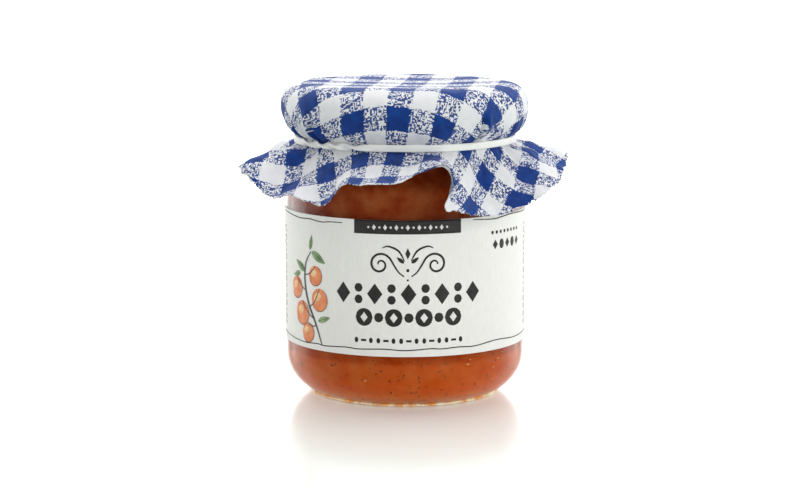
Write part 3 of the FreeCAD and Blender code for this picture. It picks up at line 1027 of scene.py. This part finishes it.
def flourish(black):
    """Two mirrored scrolls about a small leaf."""
    middle, level = 0.7, 41.8
    for side in (-1.0, 1.0):
        scroll = []
        for step in range(15):
            turn = math.radians(step * 36.0)
            reach = 0.5 + step * 0.19
            out, up = reach * math.cos(turn), reach * math.sin(turn)
            scroll.append((middle + side * (7.6 + out), level - 0.6 + up))
        tail = [(middle + side * 3.7, level - 0.9), (middle + side * 2.5, level - 2.7),
                (middle + side * 1.0, level - 3.9)]
        black.stroke(scroll + tail, 0.62, 0.45)
        black.stroke([(middle + side * 0.9, level + 0.4), (middle + side * 2.6, level + 3.2),
                      (middle + side * 5.4, level + 4.4), (middle + side * 7.0, level + 3.9)], 0.55, 0.6)
        black.patch((middle + side * 2.0, level + 0.6), 1.3, 0.5, leaf, 90.0 - side * 52.0)
    black.patch((middle, level + 2.4), 0.7, 1.6, lozenge)
    black.patch((middle, level - 2.2), 0.45, 0.45, disc)
    black.patch((middle, level - 4.9), 0.3, 0.3, disc)


def bold_rows(black, white):
    """Rows of bold shapes in place of the title, and a row of small ones under them."""
    for place in range(9):
        centre = (0.9 + (place - 4) * 4.65, 33.0)
        if place % 2:
            black.patch((centre[0], centre[1] + 1.6), 1.2, 1.2, disc)
            black.patch((centre[0], centre[1] - 1.6), 1.2, 1.2, disc)
        else:
            black.patch(centre, 2.15, 2.9, lozenge)
    for place in range(7):
        centre = (1.0 + (place - 3) * 4.15, 26.5)
        if place % 2:
            black.patch(centre, 1.3, 1.3, disc)
        else:
            black.patch(centre, 2.45, 2.45, disc)
            white.patch(centre, 1.05, 1.4, lozenge)
    for place in range(15):
        centre = (1.0 + (place - 7) * 2.1, 20.1)
        if place % 3 == 1:
            black.patch(centre, 0.75, 0.3, block)
        else:
            black.patch(centre, 0.55, 0.75, disc)


def side_marks(black, grey):
    """Small rows at the top right, and fine print round the sides."""
    for place in range(8):
        black.patch((26.6 + place * 1.75, 48.6), 0.5, 0.5, disc)
    for place in range(5):
        centre = (27.8 + place * 2.75, 45.2)
        black.patch(centre, 1.05, 1.35, disc if place % 2 else lozenge)
    draw = random.Random(21)
    for edge, shift in ((-46.6, -1.0), (46.6, 1.0)):
        for column in range(7):
            height = LABEL_BOTTOM + 4.5
            while height < LABEL_TOP - 4.0:
                long = draw.uniform(0.5, 2.0)
                grey.patch((edge + shift * column * 2.2, height + long / 2), 0.28, long / 2, block)
                height += long + draw.uniform(0.45, 0.8)


def fruit_sprig(orange, glow, green, twig):
    """A leaning twig with small round fruits hung in pairs, and narrow leaves between them."""
    stem = [(-25.2, 17.5), (-27.6, 23.0), (-30.8, 28.6), (-32.4, 34.2), (-32.0, 39.4), (-29.6, 43.0)]
    twig.stroke(stem, 0.75, 0.55)
    fruits = [(-33.8, 25.4, 3.3), (-26.2, 29.8, 3.1), (-36.8, 32.2, 3.0), (-27.8, 36.4, 2.7),
              (-31.0, 20.2, 2.7)]
    joints = [(-28.2, 24.2), (-30.2, 27.4), (-31.9, 31.8), (-32.3, 36.2), (-27.4, 22.6)]
    for (along, height, size), joint in zip(fruits, joints):
        orange.patch((along, height), size, size * 1.04, disc)
        glow.patch((along - size * 0.22, height + size * 0.28), size * 0.5, size * 0.36, disc, 28.0)
        bend = ((along + joint[0]) / 2 + 0.3, (height + joint[1]) / 2 + 0.8)
        twig.stroke([joint, bend, (along, height + size)], 0.32, 0.2)
        rim = [(along + size * math.cos(math.radians(t)), height + size * 1.04 * math.sin(math.radians(t)))
               for t in range(-150, 61, 15)]
        twig.stroke(rim, 0.16, 0.6)
    leaves = [(-26.6, 41.6, 3.1, 1.15, -28.0), (-34.8, 38.6, 2.8, 1.0, 152.0), (-24.4, 24.6, 2.4, 0.85, 18.0),
              (-36.8, 36.0, 2.2, 0.8, 196.0), (-29.6, 45.6, 2.2, 0.8, 78.0)]
    for along, height, half, wide, turn in leaves:
        green.patch((along, height), half, wide, leaf, turn)
        lean = math.radians(turn)
        tip = (math.cos(lean) * half * 0.85, math.sin(lean) * half * 0.85)
        vein = [(along - tip[0], height - tip[1]), (along, height + 0.12), (along + tip[0], height + tip[1])]
        twig.stroke(vein, 0.16, 0.5)


def label_print():
    """Every ink's piece on the label."""
    black, white, grey = Print(), Print(2), Print()
    orange, glow, green, twig = Print(), Print(2), Print(), Print(3)
    rule_lines(black)
    top_bar(black, white)
    flourish(black)
    bold_rows(black, white)
    side_marks(black, grey)
    fruit_sprig(orange, glow, green, twig)
    black.finish("print_black", ink("ink_black", (34, 32, 30), (20, 19, 18)))
    white.finish("print_white", ink("ink_white", (226, 224, 220), (240, 238, 235)))
    grey.finish("print_grey", ink("ink_grey", (120, 122, 126), (84, 86, 90)))
    orange.finish("print_orange", ink("ink_orange", (240, 158, 112), (222, 120, 78)))
    glow.finish("print_glow", ink("ink_glow", (250, 210, 160), (242, 184, 122)))
    green.finish("print_green", ink("ink_green", (156, 180, 134), (104, 134, 92)))
    twig.finish("print_twig", ink("ink_twig", (98, 92, 90), (66, 60, 58)))


# --------------------------------------------------------------------------------------------- foot
STIPPLES = 260
STIPPLE_RADIUS = 26.3
STIPPLE_HEIGHT = 0.48
STIPPLE_DEPTH = 0.6
STIPPLE_LENGTHS = (0.35, 0.75)
STIPPLE_HEIGHTS = (0.26, 0.44)
STIPPLE_SHIFT = 0.2


def painted_glint_stipples():
    """The ring of small bumps under the heel, coloured as painted glints."""
    draw = random.Random(31)
    shape, sides = bead_shape()
    up = np.array([0.0, 0.0, 1.0])
    points, faces = [], []
    for place in range(STIPPLES):
        azimuth = (place + draw.uniform(-STIPPLE_SHIFT, STIPPLE_SHIFT)) * 360.0 / STIPPLES
        radius = STIPPLE_RADIUS + draw.uniform(-STIPPLE_SHIFT, STIPPLE_SHIFT)
        middle = on_circle(azimuth, radius, STIPPLE_HEIGHT)
        turn = math.radians(azimuth)
        out = np.array([math.sin(turn), -math.cos(turn), 0.0])
        along = np.array([math.cos(turn), math.sin(turn), 0.0])
        long, tall = draw.uniform(*STIPPLE_LENGTHS), draw.uniform(*STIPPLE_HEIGHTS)
        start = len(points)
        for corner in shape:
            point = middle + out * corner[0] * STIPPLE_DEPTH
            points.append(point + along * corner[1] * long + up * corner[2] * tall)
        faces.extend(tuple(start + v for v in side) for side in sides)
    return new_piece("painted_glint_stipples", points, faces, painted_glint_glass())


# --------------------------------------------------------------------------------------------- studio
CAMERA_PLACE = (-1.43, -653.1, 139.0)
CAMERA_LOOKS_DOWN = 8.65
CAMERA_LENS = 104.0
SENSOR_WIDTH = 36.0
FARTHEST_SEEN = 50.0
AMBIENT = 0.55
FLOOR_SIZE = 6000.0
FLOOR_LEVEL = -0.02


def camera():
    """The camera at the front, looking slightly down."""
    data = bpy.data.cameras.new("camera")
    data.lens = CAMERA_LENS
    data.sensor_width = SENSOR_WIDTH
    data.clip_end = FARTHEST_SEEN
    made = bpy.data.objects.new("camera", data)
    made.location = [value * MM for value in CAMERA_PLACE]
    made.rotation_euler = (math.radians(90.0 - CAMERA_LOOKS_DOWN), 0.0, 0.0)
    bpy.context.scene.collection.objects.link(made)
    bpy.context.scene.camera = made


def softbox(name, place, aim, size, brightness):
    """A rectangular lamp at place that faces aim; brightness is what a mirror would show of it."""
    data = bpy.data.lights.new(name, "AREA")
    data.shape = "RECTANGLE"
    data.size, data.size_y = size[0] * MM, size[1] * MM
    data.energy = brightness * math.pi * data.size * data.size_y
    made = bpy.data.objects.new(name, data)
    made.location = [value * MM for value in place]
    way = Vector(aim) - Vector(place)
    made.rotation_euler = way.to_track_quat("-Z", "Y").to_euler()
    bpy.context.scene.collection.objects.link(made)


def seen_directly(tree):
    """1 for what the camera, a mirror or glass sees, 0 for what only lights."""
    path = put(tree, "ShaderNodeLightPath")
    seen = calc(tree, "MAXIMUM", path.outputs["Is Camera Ray"], path.outputs["Is Glossy Ray"])
    return calc(tree, "MAXIMUM", seen, path.outputs["Is Transmission Ray"])


def white_world():
    """White where it is seen, dimmer as light."""
    world = bpy.data.worlds.new("world")
    bpy.context.scene.world = world
    world.use_nodes = True
    tree = world.node_tree
    tree.nodes.clear()
    strength = spread(tree, seen_directly(tree), 0.0, 1.0, AMBIENT, 1.0)
    light = put(tree, "ShaderNodeBackground", {"Color": (1.0, 1.0, 1.0, 1.0), "Strength": strength})
    put(tree, "ShaderNodeOutputWorld", {"Surface": light.outputs[0]})


def floor():
    """A pale, softly shining table that keeps the jar's shadow and reflection; its glow for what is seen
    fades near the jar, a painted shade round the foot.
    """
    material, tree = tree_of("floor")
    seen = seen_directly(tree)
    place = millimetres(tree)
    away = put(tree, "ShaderNodeVectorMath", {0: place}, operation="LENGTH").outputs["Value"]
    # Painted shade: the glow is weaker within 420 mm of the jar's axis, darkest near the foot.
    painted_shade_glow = spread(tree, away, 70.0, 420.0, 0.16, 0.75)
    inputs = {"Color": (1.0, 1.0, 1.0, 1.0), "Strength": calc(tree, "MULTIPLY", seen, painted_shade_glow)}
    glow = put(tree, "ShaderNodeEmission", inputs).outputs[0]
    rough = toned(tree, grain(tree, place, 0.01), 0.13, 0.17)
    inputs = {"Base Color": (0.765, 0.82, 0.77, 1.0), "Roughness": rough, "Specular IOR Level": 0.8}
    surface = put(tree, "ShaderNodeBsdfPrincipled", inputs).outputs[0]
    finished(tree, put(tree, "ShaderNodeAddShader", {0: glow, 1: surface}).outputs[0])
    half = FLOOR_SIZE / 2 * MM
    data = bpy.data.meshes.new("floor")
    level = FLOOR_LEVEL * MM
    data.from_pydata([(-half, -half, level), (half, -half, level), (half, half, level), (-half, half, level)],
                     [], [(0, 1, 2, 3)])
    made = bpy.data.objects.new("floor", data)
    bpy.context.scene.collection.objects.link(made)
    data.materials.append(material)


def repaint(name, material):
    """Gives a CAD node its own finish."""
    node = nodes_of[name]
    node.data.materials.clear()
    node.data.materials.append(material)


bpy.context.scene.view_settings.view_transform = "Standard"
camera()
white_world()
floor()
softbox("top_box", (0, 150, 950), (0, 0, 60), (900, 900), 2.2)
softbox("front_box", (780, -850, 420), (0, 0, 60), (700, 700), 2.6)
softbox("left_card", (-760, 520, 220), (0, 0, 60), (520, 800), 2.4)
softbox("right_card", (760, 520, 220), (0, 0, 60), (520, 800), 2.4)
softbox("back_card", (0, 980, 300), (0, 0, 60), (1000, 700), 2.0)

repaint("glass_jar", clear_glass())
repaint("lid", lid_enamel())
repaint("paper_label", label_paper())
jam_piece()
specks("vanilla_seeds", seed_skin("vanilla_seed", (10, 4, 2), (34, 12, 5)), 1900, (0.24, 0.44), 3, -0.06)
specks("fruit_flecks", seed_skin("fruit_fleck", (236, 150, 70), (250, 196, 120)), 110, (0.35, 0.8), 4, 0.0)
cloth_points, cloth_flat = cloth_grid()
cover = cloth_piece(cloth_points, cloth_flat)
fray = fray_piece(cloth_points)
elastic_piece()
label_print()
painted_glint_stipples()
